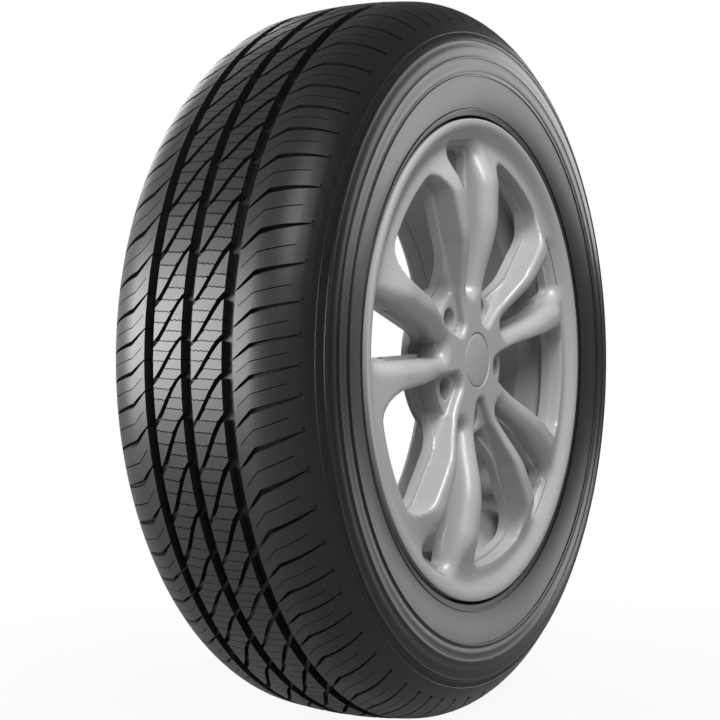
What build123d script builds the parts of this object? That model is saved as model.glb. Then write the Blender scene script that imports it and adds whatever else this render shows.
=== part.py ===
"""Car wheel with its tyre: a radial tyre seated on a cast alloy wheel with five twin spokes.

The origin is the wheel's centre. The wheel spins about Y, its outer face looks along -Y, and +Z is up.
In every section, s is the distance outwards from the middle plane (along -Y) and r is the radius.
Angles about the axle run clockwise from the top as seen from the outer face.
"""

import math
import os

from build123d import *

# Tyre, outer form
tyre_radius = 310.75
section_half_width = 95.0
crown_half_width = 48.0
crown_drop = 3.25
shoulder_chords = 4
lower_wall_height_share = 0.43
lower_wall_width_share = 0.73
bead_edge_rise = 5.0
bead_edge_reach = 9.3

# Tyre, inner form
crown_thickness = 14.5
sidewall_thickness = 8.5
liner_low_share = 0.62
liner_high_rise = 9.3
liner_crown_reach = 8.0
bead_width = 18.0

# Tread
main_groove_pitch = 34.5
main_groove_width = 9.0
main_groove_depth = 8.0
cross_groove_depth = 6.6
rib_groove_count = 60
rib_groove_width = 3.4
rib_groove_rise = 38.0
shoulder_groove_count = 72
shoulder_groove_width = 4.0
shoulder_groove_end_s = 81.0
shoulder_groove_rise = 19.0
shoulder_floor_drop = 13.5
pitch_variation = 0.18
pitch_cycles = 10

# Rim, to the usual section for a 15 inch rim 6 inches wide
rim_half_width = 76.2
bead_seat_radius = 190.5
bead_seat_taper = 5.0
bead_seat_width = 20.0
bead_seat_step = 1.0
flange_height = 16.5
flange_width = 12.5
flange_curl = 9.0
flange_lip = 3.0
flange_wall = 5.8
well_depth = 17.5
well_front_s = 34.0
well_back_s = 8.0
well_slope_width = 14.0
barrel_wall = 5.5
bead_clearance = 0.2

# Front ring and twin spokes
big_window_wall = 12.5
ring_foot_rise = 3.8
spoke_pairs = 5
pair_angle = -10.5
spoke_spread = 12.0
spoke_root_radius = 62.0
spoke_root_width = 15.0
spoke_rim_width = 24.0
spoke_ledge = 3.0
spoke_ledge_rise = 8.0
spoke_back_root_s = 44.0
spoke_back_mid_s = 62.0
spoke_back_mid_radius = 110.0
spoke_back_chords = 2
crest_root_s = 78.5
crest_root_radius = 50.0
crest_mid_s = 93.0
crest_mid_radius = 128.0
crest_fall_radius = 142.0
crest_end_s = 81.0
crest_chords = 4
bevel_s = 83.0
bevel_angle = 30.0
small_window_wall = 5.5
small_window_root = 62.0
big_window_corner = 24.0
small_window_corner = 10.0
small_window_tip = 4.0

# Hub, bore, bolt holes and the seat of the centre cap
hub_radius = 65.0
hub_pad_s = 38.0
lug_deck_s = 69.0
boss_radius = 30.0
boss_s = 78.0
bay_wall = 4.0
bore_radius = 28.55
bore_length = 18.0
hook_room_radius = 25.0
hook_room_length = 6.0
bolt_count = 5
bolt_circle_radius = 50.0
bolt_hole_radius = 7.25
bolt_pocket_radius = 10.0
bolt_seat_s = 56.0
bolt_seat_angle = 60.0
cap_radius = 23.5
cap_bore_radius = 20.5
cap_seat_depth = 2.2
cap_dome = 1.8
cap_dome_chords = 2
cap_skirt_wall = 1.8
cap_slot_length = 12.0
cap_slot_width = 6.0
cap_hook = 0.9
cap_clearance = 0.15

# Snap-in valve
valve_angle = 183.0
valve_slope_share = 0.4
valve_wall = 5.0
valve_relief_radius = 9.5
valve_flange = 5.0
valve_shoulder = 7.5
valve_hole_radius = 5.65
valve_bulb_radius = 7.6
valve_stem_radius = 5.0
valve_tip_radius = 3.85
valve_stem_length = 30.0
valve_tip_length = 9.0
valve_bore_radius = 2.2
valve_core_recess = 1.0
valve_pin_length = 2.0
valve_pin_radius = 0.7
valve_cap_radius = 4.9
valve_cap_length = 11.0
valve_cap_bevel = 1.0
valve_clearance = 0.1

SECTION = Plane(origin=(0, 0, 0), x_dir=(0, -1, 0), z_dir=(-1, 0, 0))
FACE_ON = Plane(origin=(0, 0, 0), x_dir=(1, 0, 0), z_dir=(0, -1, 0))
OUTWARDS = (0, -1, 0)
HALF_TURN = Location((0, 0, 0), (0, 0, 180))
PAIR_STEP = 360 / spoke_pairs
OVERCUT = 2.0
outer_reach = section_half_width + OVERCUT

# Radii that follow the bead seat, which sets the wheel's size
flange_radius = bead_seat_radius + flange_height
well_radius = bead_seat_radius - well_depth
ring_inner_radius = bead_seat_radius - big_window_wall
small_window_radius = bead_seat_radius - small_window_wall
ring_foot_s = rim_half_width + ring_foot_rise

# The tyre's two outer arcs, and what follows its widest place
crown_arc = (crown_half_width**2 + crown_drop**2) / (2 * crown_drop)
crown_turn = math.asin(crown_half_width / crown_arc)
shoulder_arc = (section_half_width - crown_half_width) / (1 - math.sin(crown_turn))
widest_radius = tyre_radius - crown_drop - shoulder_arc * math.cos(crown_turn)
bead_edge_s = rim_half_width + bead_edge_reach
bead_edge_radius = flange_radius + bead_edge_rise
lower_wall_s = bead_edge_s + lower_wall_width_share * (section_half_width - bead_edge_s)
lower_wall_radius = bead_edge_radius + lower_wall_height_share * (widest_radius - bead_edge_radius)


def turned(angle):
    """Place something modelled at the top of the wheel at an angle about the axle."""
    return Location((0, 0, 0), (0, angle, 0))


def crown_radius_at(s):
    """The tread's radius at distance s from the middle plane, before the shoulder begins."""
    return tyre_radius - crown_drop * (s / crown_half_width) ** 2


def shoulder_points():
    """Points from the crown round the shoulder to the widest place, on one arc tangent to the crown."""
    turn = (math.pi / 2 - crown_turn) / shoulder_chords
    angles = [crown_turn + turn * i for i in range(1, shoulder_chords + 1)]
    centre_s = section_half_width - shoulder_arc
    ways = [(math.sin(a), math.cos(a)) for a in angles]
    return [(centre_s + shoulder_arc * out, widest_radius + shoulder_arc * up) for out, up in ways]


def seat_radius_at(s):
    """The rim's bead seat radius, which falls towards the middle by the seat's taper."""
    return bead_seat_radius - (rim_half_width - abs(s)) * math.tan(math.radians(bead_seat_taper))


def pitch_angles(count):
    """Angles of a ring of tread grooves, whose pitches run from long to short in cycles."""
    even = [2 * math.pi * i / count for i in range(count)]
    sway = pitch_variation / pitch_cycles
    return [math.degrees(a + sway * math.sin(pitch_cycles * a)) for a in even]


# Tyre: its section is turned round the axle, then the cross grooves are cut
rib_inner_s = main_groove_width / 2
rib_outer_s = main_groove_pitch - main_groove_width / 2
shoulder_edge_s = main_groove_pitch + main_groove_width / 2
heel_s = rim_half_width - bead_clearance
toe_s = heel_s - bead_width
liner_s = section_half_width - sidewall_thickness
liner_low_radius = bead_edge_radius + liner_low_share * (widest_radius - bead_edge_radius)
liner_high_radius = widest_radius + liner_high_rise
liner_crown_s = crown_half_width + liner_crown_reach
liner_crown_radius = tyre_radius - crown_drop - crown_thickness


def tyre_half_section(side):
    """One side of the tyre's section, from the middle groove round the bead and back along the liner."""
    outline = [
        (0, tyre_radius - main_groove_depth),
        (rib_inner_s, tyre_radius - main_groove_depth),
        (rib_inner_s, crown_radius_at(rib_inner_s)),
        (rib_outer_s, crown_radius_at(rib_outer_s)),
        (rib_outer_s, crown_radius_at(rib_outer_s) - main_groove_depth),
        (shoulder_edge_s, crown_radius_at(rib_outer_s) - main_groove_depth),
        (shoulder_edge_s, crown_radius_at(shoulder_edge_s)),
        *shoulder_points(),
        (lower_wall_s, lower_wall_radius),
        (bead_edge_s, bead_edge_radius),
        (heel_s, flange_radius - flange_curl / 2),
        (heel_s, seat_radius_at(heel_s) + bead_clearance),
        (toe_s, seat_radius_at(toe_s) + bead_clearance),
        (liner_s, liner_low_radius),
        (liner_s, liner_high_radius),
        (liner_crown_s, liner_crown_radius),
        (0, liner_crown_radius),
    ]
    return [(side * s, r) for s, r in outline]


groove_plane = Plane(origin=(0, 0, tyre_radius + OVERCUT), x_dir=(0, -1, 0), z_dir=(0, 0, 1))

with BuildPart() as rib_groove:
    with BuildSketch(groove_plane):
        with BuildLine():
            rib_slope = rib_groove_rise / (rib_outer_s - rib_inner_s)
            rib_mid_s = (rib_inner_s + rib_outer_s) / 2
            reach = rib_mid_s - rib_inner_s + OVERCUT / 2
            half_mouth = rib_groove_width / 2 * math.hypot(1, rib_slope)
            Polyline(
                (rib_mid_s - reach, -rib_slope * reach - half_mouth),
                (rib_mid_s + reach, rib_slope * reach - half_mouth),
                (rib_mid_s + reach, rib_slope * reach + half_mouth),
                (rib_mid_s - reach, -rib_slope * reach + half_mouth),
                close=True,
            )
        make_face()
    extrude(amount=-(OVERCUT + cross_groove_depth))

with BuildPart() as shoulder_groove:
    with BuildSketch(groove_plane):
        with BuildLine():
            half_mouth = shoulder_groove_width / 2
            Polyline(
                (shoulder_edge_s - OVERCUT / 2, -half_mouth),
                (shoulder_groove_end_s, shoulder_groove_rise - half_mouth),
                (shoulder_groove_end_s, shoulder_groove_rise + half_mouth),
                (shoulder_edge_s - OVERCUT / 2, half_mouth),
                close=True,
            )
        make_face()
    floor_radius = crown_radius_at(shoulder_edge_s) - cross_groove_depth
    extrude(amount=-(tyre_radius - floor_radius + shoulder_floor_drop + 2 * OVERCUT))
    with BuildSketch(SECTION):
        with BuildLine():
            Polyline(
                (shoulder_edge_s - OVERCUT, floor_radius),
                (outer_reach, floor_radius - shoulder_floor_drop),
                (outer_reach, tyre_radius + 2 * OVERCUT),
                (shoulder_edge_s - OVERCUT, tyre_radius + 2 * OVERCUT),
                close=True,
            )
        make_face()
    extrude(amount=2 * shoulder_groove_rise, both=True, mode=Mode.INTERSECT)

with BuildPart() as tyre:
    with BuildSketch(SECTION):
        for side in (1, -1):
            with BuildLine():
                Polyline(*tyre_half_section(side), close=True)
            make_face()
    revolve(axis=Axis.Y)
    for groove, count in ((rib_groove, rib_groove_count), (shoulder_groove, shoulder_groove_count)):
        places = [turned(angle) for angle in pitch_angles(count)]
        with Locations(*places, *[place * HALF_TURN for place in places]):
            add(groove.part, mode=Mode.SUBTRACT)

# Wheel: a turned rim and hub, joined by a spoked disc whose windows are cut through it
flange_face_s = rim_half_width + flange_width
seat_end_s = rim_half_width - bead_seat_width
ledge_radius = seat_radius_at(seat_end_s) - bead_seat_step


def flange_points(side):
    """One flange and bead seat of the rim's outer side, from the flange's edge inwards."""
    points = [
        (flange_face_s, flange_radius - flange_lip),
        (flange_face_s - flange_lip / 2, flange_radius),
        (rim_half_width + flange_lip, flange_radius - flange_lip),
        (rim_half_width, flange_radius - flange_curl),
        (rim_half_width, bead_seat_radius),
        (seat_end_s, seat_radius_at(seat_end_s)),
    ]
    return [(side * s, r) for s, r in points]


rim_outline = [
    *flange_points(1),
    (well_front_s + well_slope_width, ledge_radius),
    (well_front_s, well_radius),
    (well_back_s, well_radius),
    (well_back_s - well_slope_width, ledge_radius),
    *reversed(flange_points(-1)),
    (-rim_half_width - flange_wall, flange_radius - flange_curl),
    (-rim_half_width - flange_wall, bead_seat_radius),
    (-rim_half_width, ledge_radius - barrel_wall),
    (well_back_s - well_slope_width - barrel_wall / 2, ledge_radius - barrel_wall),
    (well_back_s - barrel_wall / 2, well_radius - barrel_wall),
    (well_front_s + barrel_wall / 2, well_radius - barrel_wall),
    (well_front_s + well_slope_width + barrel_wall / 2, ledge_radius - barrel_wall - OVERCUT),
    (rim_half_width - barrel_wall, small_window_radius),
    (ring_foot_s, small_window_radius),
    (rim_half_width + flange_wall, flange_radius - flange_curl),
]


def spoke_edge(side, extra, at_rim):
    """A point on an edge of the spoke to the right of a pair's axis, which points up."""
    spread = math.radians(spoke_spread)
    radius = ring_inner_radius if at_rim else spoke_root_radius
    reach = side * ((spoke_rim_width if at_rim else spoke_root_width) / 2 + extra)
    x = radius * math.sin(spread) + reach * math.cos(spread)
    y = radius * math.cos(spread) - reach * math.sin(spread)
    return (x, y)


def edge_at_radius(side, extra, radius):
    """Where an edge of that spoke, straight from root to rim, crosses a radius."""
    x, y = spoke_edge(side, extra, False)
    end_x, end_y = spoke_edge(side, extra, True)
    dx, dy = end_x - x, end_y - y
    square, cross = dx * dx + dy * dy, x * dx + y * dy
    along = (math.sqrt(cross**2 - square * (x * x + y * y - radius**2)) - cross) / square
    return (x + along * dx, y + along * dy)


def window_corner(extra, radius):
    """A corner of the window between two pairs, to the right of the window's own axis."""
    x, y = edge_at_radius(1, extra, radius)
    turn = math.radians(PAIR_STEP / 2)
    return (y * math.sin(turn) - x * math.cos(turn), y * math.cos(turn) + x * math.sin(turn))


def big_window(extra, inner_radius):
    """The outline of the window between two pairs, pointing up, narrower all round by extra."""
    outer = ring_inner_radius - extra
    x_out, y_out = window_corner(extra, outer)
    x_in, y_in = window_corner(extra, inner_radius)
    with BuildSketch(FACE_ON) as window:
        with BuildLine():
            Line((-x_out, y_out), (-x_in, y_in))
            ThreePointArc((-x_in, y_in), (0, inner_radius), (x_in, y_in))
            Line((x_in, y_in), (x_out, y_out))
            ThreePointArc((x_out, y_out), (0, outer), (-x_out, y_out))
        make_face()
        fillet(window.vertices().sort_by(Axis.Y)[-2:], big_window_corner - extra)
    return window.sketch


def small_window(extra):
    """The outline of the gap between the two spokes of a pair, pointing up, narrower by extra."""
    outer = small_window_radius - extra
    x_in, y_in = edge_at_radius(-1, extra, small_window_root + 2 * extra)
    x_out, y_out = edge_at_radius(-1, extra, outer)
    with BuildSketch(FACE_ON) as window:
        with BuildLine():
            Polyline((-x_out, y_out), (-x_in, y_in), (x_in, y_in), (x_out, y_out))
            ThreePointArc((x_out, y_out), (0, outer), (-x_out, y_out))
        make_face()
        fillet(window.vertices().sort_by(Axis.Y)[-2:], small_window_corner - extra)
        fillet(window.vertices().sort_by(Axis.Y)[:2], small_window_tip - extra / 2)
    return window.sketch


pair_places = [turned(pair_angle + PAIR_STEP * k) for k in range(spoke_pairs)]
between_places = [turned(pair_angle + PAIR_STEP * (k + 0.5)) for k in range(spoke_pairs)]


def eased(start, start_s, end, end_s):
    """Points of a smooth rise or fall of the crest between two radii, level at both ends."""
    shares = [i / crest_chords for i in range(crest_chords + 1)]
    lifts = [(1 - math.cos(math.pi * share)) / 2 for share in shares]
    radii = [start + (end - start) * share for share in shares]
    return [(start_s + (end_s - start_s) * lift, r) for lift, r in zip(lifts, radii)]


def crest_points():
    """Points along the spokes' arched crest, from the hub's boss out to the ring."""
    rise = eased(crest_root_radius, crest_root_s, crest_mid_radius, crest_mid_s)
    fall = eased(crest_fall_radius, crest_mid_s, small_window_radius, crest_end_s)
    return [(crest_root_s, bore_radius + OVERCUT), *rise, *fall]


def back_points(rise):
    """Points along the spokes' hollowed back, or along the ledge that lies at a rise in front of it."""
    sag = (spoke_back_mid_s - spoke_back_root_s) / (spoke_back_mid_radius - hub_radius) ** 2
    step = (spoke_back_mid_radius - hub_radius) / spoke_back_chords
    radii = [hub_radius + step * i for i in range(spoke_back_chords)]
    arch = [(spoke_back_mid_s - sag * (spoke_back_mid_radius - r) ** 2, r) for r in radii]
    ends = [(spoke_back_mid_s, spoke_back_mid_radius), (spoke_back_mid_s, small_window_radius)]
    root = (spoke_back_root_s, bore_radius + OVERCUT)
    return [(s + rise, r) for s, r in [root, *arch, *ends]]


# Each window is cut square through the disc, opens out towards the crest, and is narrower at the back
with BuildPart() as big_cut:
    extrude(big_window(0, hub_radius), amount=outer_reach, dir=OUTWARDS)

with BuildPart() as small_cut:
    extrude(small_window(0), amount=outer_reach, dir=OUTWARDS)

with BuildPart() as big_flare:
    extrude(big_window(0, hub_radius), amount=outer_reach - bevel_s, dir=OUTWARDS, taper=-bevel_angle)

with BuildPart() as small_flare:
    extrude(small_window(0), amount=outer_reach - bevel_s, dir=OUTWARDS, taper=-bevel_angle)

with BuildPart() as big_back_cut:
    extrude(big_window(spoke_ledge, hub_radius), amount=outer_reach, dir=OUTWARDS)

with BuildPart() as small_back_cut:
    extrude(small_window(spoke_ledge), amount=outer_reach, dir=OUTWARDS)

with BuildPart() as lug_bay:
    extrude(big_window(0, boss_radius + bay_wall), amount=outer_reach, dir=OUTWARDS)

raised = Location((0, -bevel_s, 0))
on_deck = Location((0, -lug_deck_s, 0))

with BuildPart() as spoke_front:
    with BuildSketch(SECTION):
        with BuildLine():
            Polyline(
                *crest_points(),
                *reversed(back_points(spoke_ledge_rise)),
                close=True,
            )
        make_face()
    revolve(axis=Axis.Y)
    with Locations(*between_places):
        add(big_cut.part, mode=Mode.SUBTRACT)
    with Locations(*pair_places):
        add(small_cut.part, mode=Mode.SUBTRACT)
    with Locations(*[place * raised for place in between_places]):
        add(big_flare.part, mode=Mode.SUBTRACT)
    with Locations(*[place * raised for place in pair_places]):
        add(small_flare.part, mode=Mode.SUBTRACT)
    with Locations(*[place * on_deck for place in between_places]):
        add(lug_bay.part, mode=Mode.SUBTRACT)

with BuildPart() as spoke_back:
    with BuildSketch(SECTION):
        with BuildLine():
            Polyline(
                *back_points(0),
                *reversed(back_points(spoke_ledge_rise)),
                close=True,
            )
        make_face()
    revolve(axis=Axis.Y)
    with Locations(*between_places):
        add(big_back_cut.part, mode=Mode.SUBTRACT)
    with Locations(*pair_places):
        add(small_back_cut.part, mode=Mode.SUBTRACT)

seat_length = (bolt_pocket_radius - bolt_hole_radius) / math.tan(math.radians(bolt_seat_angle / 2))

with BuildPart() as bolt_hole:
    with BuildSketch(SECTION):
        with BuildLine():
            Polyline(
                (hub_pad_s - OVERCUT, bolt_circle_radius),
                (hub_pad_s - OVERCUT, bolt_circle_radius + bolt_hole_radius),
                (bolt_seat_s - seat_length, bolt_circle_radius + bolt_hole_radius),
                (bolt_seat_s, bolt_circle_radius + bolt_pocket_radius),
                (lug_deck_s + OVERCUT, bolt_circle_radius + bolt_pocket_radius),
                (lug_deck_s + OVERCUT, bolt_circle_radius),
                close=True,
            )
        make_face()
    revolve(axis=Axis((0, 0, bolt_circle_radius), (0, 1, 0)))

cap_seat_s = boss_s - cap_seat_depth
bore_end_s = hub_pad_s + bore_length
bore_step_s = bore_end_s + hook_room_length
bolt_places = [turned(pair_angle + PAIR_STEP / 2 + 360 / bolt_count * k) for k in range(bolt_count)]

# The valve's axis is square to the slope between the front bead seat and the well
slope_s = well_front_s + well_slope_width * valve_slope_share
slope_radius = well_radius + (ledge_radius - well_radius) * valve_slope_share
slope_rise = math.atan2(ledge_radius - well_radius, well_slope_width)
valve_axis = (0, -math.sin(slope_rise), -math.cos(slope_rise))
VALVE = turned(valve_angle) * Plane(
    origin=(0, -slope_s, slope_radius), x_dir=valve_axis, z_dir=(-1, 0, 0)
).location
valve_plane = Plane(VALVE)
valve_line = Axis(valve_plane.origin, valve_plane.x_dir)

with BuildPart() as wheel:
    with BuildSketch(SECTION):
        with BuildLine():
            Polyline(*rim_outline, close=True)
        make_face()
        with BuildLine():
            Polyline(
                (hub_pad_s, bore_radius),
                (hub_pad_s, hub_radius),
                (lug_deck_s, hub_radius),
                (lug_deck_s, boss_radius),
                (boss_s, boss_radius),
                (boss_s, cap_radius + cap_clearance),
                (cap_seat_s, cap_radius + cap_clearance),
                (cap_seat_s, cap_bore_radius),
                (bore_step_s, cap_bore_radius),
                (bore_step_s, hook_room_radius),
                (bore_end_s, hook_room_radius),
                (bore_end_s, bore_radius),
                close=True,
            )
        make_face()
    revolve(axis=Axis.Y)
    add(spoke_front.part)
    add(spoke_back.part)
    with Locations(*bolt_places):
        add(bolt_hole.part, mode=Mode.SUBTRACT)
    with BuildSketch(valve_plane):
        with BuildLine():
            Polyline(
                (-OVERCUT, 0),
                (-OVERCUT, valve_hole_radius),
                (valve_wall, valve_hole_radius),
                (valve_wall, valve_relief_radius),
                (valve_stem_length, valve_relief_radius),
                (valve_stem_length, 0),
                close=True,
            )
        make_face()
    revolve(axis=valve_line, mode=Mode.SUBTRACT)

with BuildPart() as centre_cap:
    skirt_radius = cap_bore_radius - cap_clearance
    skirt_end_s = bore_step_s - 2 * cap_hook
    dome_shares = [i / cap_dome_chords for i in range(cap_dome_chords + 1)]
    with BuildSketch(SECTION):
        with BuildLine():
            Polyline(
                (cap_seat_s, 0),
                *[(boss_s + cap_dome * (1 - share**2), cap_radius * share) for share in dome_shares],
                (cap_seat_s, cap_radius),
                (cap_seat_s, skirt_radius),
                (bore_step_s - cap_clearance, skirt_radius),
                (bore_step_s - cap_clearance, skirt_radius + cap_hook),
                (skirt_end_s, skirt_radius),
                (skirt_end_s, skirt_radius - cap_skirt_wall),
                (cap_seat_s, skirt_radius - cap_skirt_wall),
                close=True,
            )
        make_face()
    revolve(axis=Axis.Y)
    with BuildSketch(FACE_ON.offset(skirt_end_s)):
        Rectangle(cap_slot_width, 2 * cap_radius)
        Rectangle(2 * cap_radius, cap_slot_width)
    extrude(amount=cap_slot_length, mode=Mode.SUBTRACT)

with BuildPart() as valve_stem:
    with BuildSketch(valve_plane):
        with BuildLine():
            neck = valve_hole_radius - valve_clearance
            Polyline(
                (-valve_flange, valve_bore_radius),
                (-valve_flange, valve_bulb_radius),
                (-valve_clearance, valve_bulb_radius),
                (-valve_clearance, neck),
                (valve_wall + valve_clearance, neck),
                (valve_wall + valve_clearance, valve_bulb_radius),
                (valve_wall + valve_shoulder, valve_stem_radius),
                (valve_stem_length, valve_stem_radius),
                (valve_stem_length, valve_tip_radius),
                (valve_stem_length + valve_tip_length, valve_tip_radius),
                (valve_stem_length + valve_tip_length, valve_bore_radius),
                close=True,
            )
        make_face()
    revolve(axis=valve_line)

with BuildPart() as valve_core:
    with BuildSketch(valve_plane):
        with BuildLine():
            core_end = valve_stem_length + valve_tip_length - valve_core_recess
            Polyline(
                (valve_stem_length - valve_tip_length, 0),
                (valve_stem_length - valve_tip_length, valve_bore_radius - valve_clearance),
                (core_end - valve_pin_length, valve_bore_radius - valve_clearance),
                (core_end - valve_pin_length, valve_pin_radius),
                (core_end, valve_pin_radius),
                (core_end, 0),
                close=True,
            )
        make_face()
    revolve(axis=valve_line)

with BuildPart() as valve_cap:
    with BuildSketch(valve_plane):
        with BuildLine():
            mouth = valve_stem_length + valve_clearance
            tip = valve_tip_radius + valve_clearance
            Polyline(
                (mouth, tip),
                (mouth, valve_cap_radius),
                (mouth + valve_cap_length - valve_cap_bevel, valve_cap_radius),
                (mouth + valve_cap_length, valve_cap_radius - valve_cap_bevel),
                (mouth + valve_cap_length, 0),
                (valve_stem_length + valve_tip_length + 2 * valve_clearance, 0),
                (valve_stem_length + valve_tip_length + 2 * valve_clearance, tip),
                close=True,
            )
        make_face()
    revolve(axis=valve_line)

os.makedirs("parts", exist_ok=True)
pieces = {
    "tyre": tyre,
    "wheel": wheel,
    "centre_cap": centre_cap,
    "valve_stem": valve_stem,
    "valve_core": valve_core,
    "valve_cap": valve_cap,
}
for name, piece in pieces.items():
    piece.part.label = name
    export_step(piece.part, f"parts/{name}.step")
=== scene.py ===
"""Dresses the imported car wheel: a moulded radial tyre on a painted cast alloy wheel with twin spokes.

Lengths are millimetres until a mesh is made, and metres in Blender. The wheel spins about Y, its outer face
looks along -Y, and +Z is up. In a section, s is the distance outwards from the middle plane (along -Y) and r
is the radius. Angles about the axle run clockwise from the top as seen from the outer face.
"""

from __future__ import annotations

import logging
import math
from dataclasses import dataclass
from enum import Enum

import bmesh
import bpy
import numpy as np
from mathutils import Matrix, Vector

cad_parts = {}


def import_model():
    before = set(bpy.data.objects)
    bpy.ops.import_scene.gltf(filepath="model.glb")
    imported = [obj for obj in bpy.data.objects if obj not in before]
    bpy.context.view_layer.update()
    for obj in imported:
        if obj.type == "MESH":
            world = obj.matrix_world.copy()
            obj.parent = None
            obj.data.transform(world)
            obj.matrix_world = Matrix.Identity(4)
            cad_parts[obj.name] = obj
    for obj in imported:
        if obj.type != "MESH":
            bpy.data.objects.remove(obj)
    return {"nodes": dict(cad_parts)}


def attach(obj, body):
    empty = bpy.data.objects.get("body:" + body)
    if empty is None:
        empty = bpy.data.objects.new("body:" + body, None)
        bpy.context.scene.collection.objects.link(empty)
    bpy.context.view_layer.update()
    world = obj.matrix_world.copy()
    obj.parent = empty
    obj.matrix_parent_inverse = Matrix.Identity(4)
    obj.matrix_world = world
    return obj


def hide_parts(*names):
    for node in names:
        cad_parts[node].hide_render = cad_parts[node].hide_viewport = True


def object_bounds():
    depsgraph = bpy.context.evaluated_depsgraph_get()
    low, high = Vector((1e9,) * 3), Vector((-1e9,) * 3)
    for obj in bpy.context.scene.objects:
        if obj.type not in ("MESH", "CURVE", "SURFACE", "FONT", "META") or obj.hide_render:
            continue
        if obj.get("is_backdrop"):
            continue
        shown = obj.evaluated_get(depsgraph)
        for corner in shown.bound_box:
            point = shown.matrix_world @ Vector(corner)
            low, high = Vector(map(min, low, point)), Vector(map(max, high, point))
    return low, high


LOG = logging.getLogger("car_wheel")
MM = 0.001
SEAM_WELD = 0.02 * MM
DOUBLES = 0.005 * MM
BODY = "root"
WHITE = (1.0, 1.0, 1.0, 1.0)
# The dressed tyre stays this far inside the CAD's tread and sidewall, with room for its raised rings
TREAD_INSET = 0.05
WALL_INSET = 0.95
Points = list[tuple[float, float]]


class Slot(Enum):
    """The record's material slots of the pieces that are dressed here."""

    TYRE = "tyre_rubber"
    WHEEL = "painted_alloy"
    CAP = "cap_plastic"


class Reach(Enum):
    """What a lamp lights: everything, or only some pieces, as if flags kept it off the rest."""

    ALL = "all"
    TYRE = "tyre"
    WHEEL = "wheel"


class Side(Enum):
    """The two sides of the tyre, as the sign of s."""

    OUTER = 1
    INNER = -1


def linear(code: str) -> tuple[float, float, float, float]:
    """Turns an sRGB hex colour into linear RGBA.

    Args:
        code: The colour, such as "#1c1d1e".

    Returns:
        Linear red, green and blue, with alpha 1.
    """
    parts = [int(code[i : i + 2], 16) / 255 for i in (1, 3, 5)]
    red, green, blue = (p / 12.92 if p <= 0.04045 else ((p + 0.055) / 1.055) ** 2.4 for p in parts)
    return (red, green, blue, 1.0)


def add_node(
    tree: bpy.types.NodeTree, kind: str, inputs: dict | None = None, **settings: object
) -> bpy.types.Node:
    """Adds a node with its settings, and sets or links its inputs.

    Args:
        tree: The node tree that gets the node.
        kind: Blender's name for the node's type.
        inputs: Input name or number to a plain value, or to the output that feeds it.
        settings: The node's own properties.

    Returns:
        The new node.
    """
    node = tree.nodes.new(kind)
    for key, value in settings.items():
        setattr(node, key, value)
    for key, value in (inputs or {}).items():
        if isinstance(value, bpy.types.NodeSocket):
            tree.links.new(value, node.inputs[key])
        else:
            node.inputs[key].default_value = value
    return node


def make_mesh(name: str, points: np.ndarray, faces: list) -> bpy.types.Object:
    """Makes a mesh object at the origin from points in millimetres.

    Args:
        name: The object's name.
        points: One row of x, y and z for each vertex.
        faces: Lists of vertex numbers.

    Returns:
        The object, linked to the scene.
    """
    mesh = bpy.data.meshes.new(name)
    mesh.from_pydata((np.asarray(points) * MM).tolist(), [], [list(map(int, face)) for face in faces])
    mesh.validate()
    piece = bpy.data.objects.new(name, mesh)
    bpy.context.scene.collection.objects.link(piece)
    return piece


def soften(piece: bpy.types.Object, angle: float) -> None:
    """Shades a piece smooth, with edges sharper than an angle kept crisp.

    Args:
        piece: The mesh object.
        angle: The least angle between faces that stays crisp, in degrees.
    """
    piece.data.shade_smooth()
    piece.data.set_sharp_from_angle(angle=math.radians(angle))


def face_outwards(piece: bpy.types.Object) -> None:
    """Merges a piece's doubles and turns the faces of its closed shells outwards."""
    shell = bmesh.new()
    shell.from_mesh(piece.data)
    bmesh.ops.remove_doubles(shell, verts=shell.verts, dist=DOUBLES)
    bmesh.ops.recalc_face_normals(shell, faces=shell.faces)
    shell.to_mesh(piece.data)
    shell.free()


def round_max(first: np.ndarray, second: np.ndarray, radius: float) -> np.ndarray:
    """Meets two distance fields at an outside edge that is rounded to a radius."""
    corner = np.hypot(np.maximum(first + radius, 0), np.maximum(second + radius, 0))
    return np.minimum(np.maximum(first, second), -radius) + corner


def join(name: str, pieces: list[bpy.types.Object]) -> bpy.types.Object:
    """Joins pieces of one moulding or casting into one object.

    Args:
        name: The joined object's name.
        pieces: The objects, the first of which is kept.

    Returns:
        The joined object.
    """
    with bpy.context.temp_override(active_object=pieces[0], selected_editable_objects=pieces):
        bpy.ops.object.join()
    pieces[0].name = name
    pieces[0].data.name = name
    return pieces[0]


def dress(piece: bpy.types.Object, finish: bpy.types.Material, slot: Slot, *nodes: str) -> None:
    """Gives a piece its finish and its body, and hides the CAD nodes that it stands for.

    Args:
        piece: The finished mesh object.
        finish: Its material.
        slot: The record's slot for it; not used.
        nodes: Names of CAD nodes that it replaces.
    """
    piece.data.materials.clear()
    piece.data.materials.append(finish)
    piece.data.polygons.foreach_set("material_index", [0] * len(piece.data.polygons))
    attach(piece, BODY)
    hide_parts(*nodes)
    LOG.info("%s: %d faces", piece.name, len(piece.data.polygons))


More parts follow.
